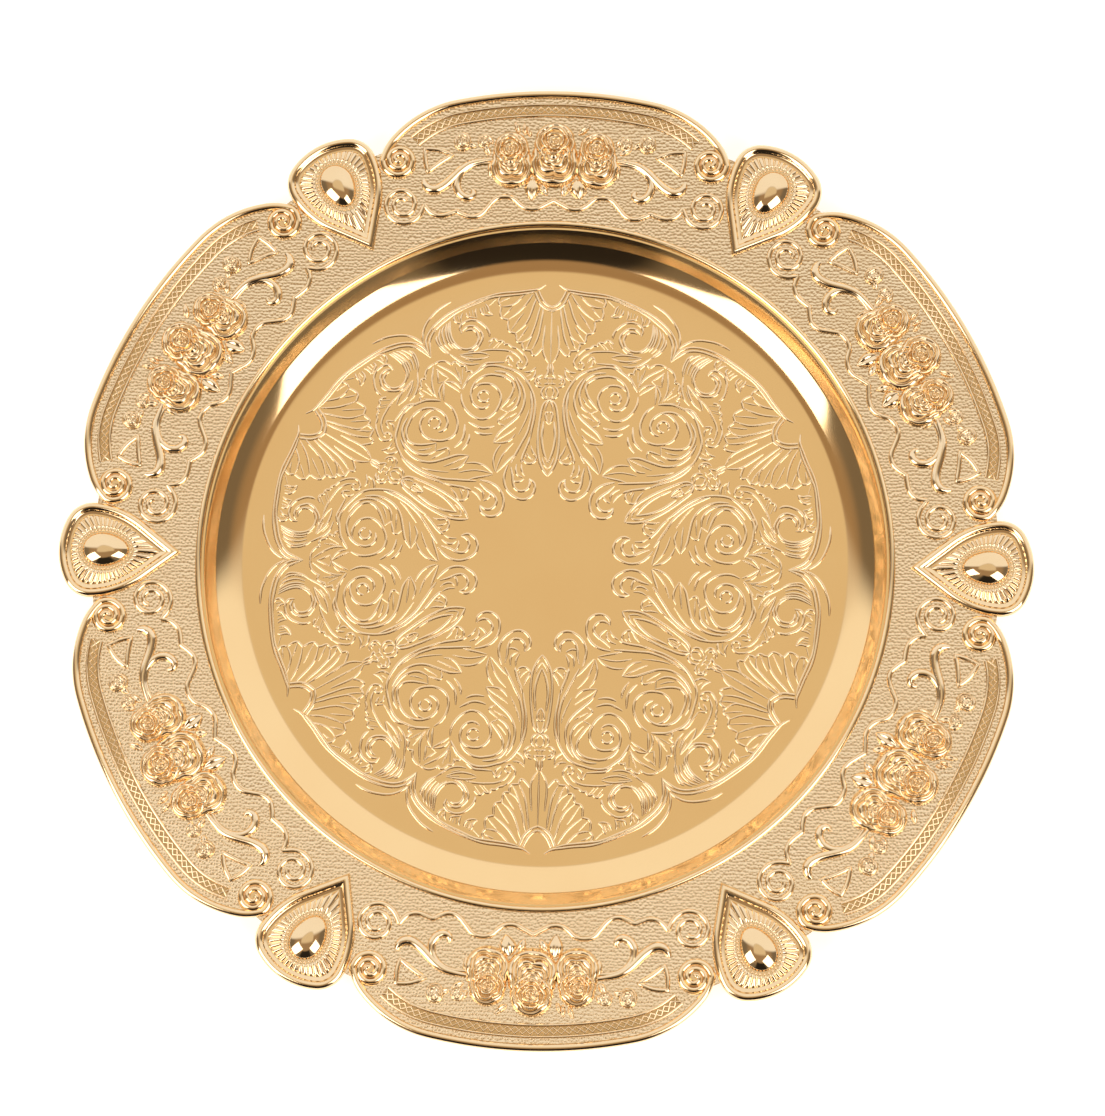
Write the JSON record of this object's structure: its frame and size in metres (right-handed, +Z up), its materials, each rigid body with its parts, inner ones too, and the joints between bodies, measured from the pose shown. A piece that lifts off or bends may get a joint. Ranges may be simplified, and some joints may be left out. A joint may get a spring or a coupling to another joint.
{
  "type": "brass tray",
  "caption": "Round brass tray with a coved polished well and a lobed border of roses, scrolls and teardrop medallions.",
  "frame": {"origin": "centre of the flat underside that the tray stands on", "axes": "+Z up through the middle of the well; +Y through the middle of lobe 1; lobes and medallions are numbered anticlockwise seen from above, and medallion 1 is 30 degrees past +Y"},
  "size_m": [0.33, 0.3288, 0.0184],
  "materials": {
    "polished_brass": "polished sheet brass, lacquered, with a softly burnished floor",
    "grained_brass": "sheet brass with a fine pebbled ground struck over it",
    "relief_brass": "satin cast and stamped ornament, darker in its hollows",
    "bright_brass": "bright polished rod, frames and bosses"
  },
  "bodies": {
    "root": {"pan": "polished_brass", "border": "grained_brass", "edge_rod_1": "bright_brass", "edge_rod_2": "bright_brass", "edge_rod_3": "bright_brass", "edge_rod_4": "bright_brass", "edge_rod_5": "bright_brass", "edge_rod_6": "bright_brass", "gallery_band_1": "relief_brass", "gallery_band_2": "relief_brass", "gallery_band_3": "relief_brass", "gallery_band_4": "relief_brass", "gallery_band_5": "relief_brass", "gallery_band_6": "relief_brass", "rose_spray_1": "relief_brass", "rose_spray_2": "relief_brass", "rose_spray_3": "relief_brass", "rose_spray_4": "relief_brass", "rose_spray_5": "relief_brass", "rose_spray_6": "relief_brass", "stem_scrolls_1": "relief_brass", "stem_scrolls_2": "relief_brass", "stem_scrolls_3": "relief_brass", "stem_scrolls_4": "relief_brass", "stem_scrolls_5": "relief_brass", "stem_scrolls_6": "relief_brass", "waved_wire_1": "relief_brass", "waved_wire_2": "relief_brass", "waved_wire_3": "relief_brass", "waved_wire_4": "relief_brass", "waved_wire_5": "relief_brass", "waved_wire_6": "relief_brass", "triangle_frames_1": "relief_brass", "triangle_frames_2": "relief_brass", "triangle_frames_3": "relief_brass", "triangle_frames_4": "relief_brass", "triangle_frames_5": "relief_brass", "triangle_frames_6": "relief_brass", "medallion_frame_1": "bright_brass", "medallion_frame_2": "bright_brass", "medallion_frame_3": "bright_brass", "medallion_frame_4": "bright_brass", "medallion_frame_5": "bright_brass", "medallion_frame_6": "bright_brass", "fluted_collar_1": "relief_brass", "fluted_collar_2": "relief_brass", "fluted_collar_3": "relief_brass", "fluted_collar_4": "relief_brass", "fluted_collar_5": "relief_brass", "fluted_collar_6": "relief_brass", "boss_1": "bright_brass", "boss_2": "bright_brass", "boss_3": "bright_brass", "boss_4": "bright_brass", "boss_5": "bright_brass", "boss_6": "bright_brass"}
  },
  "joints": []
}
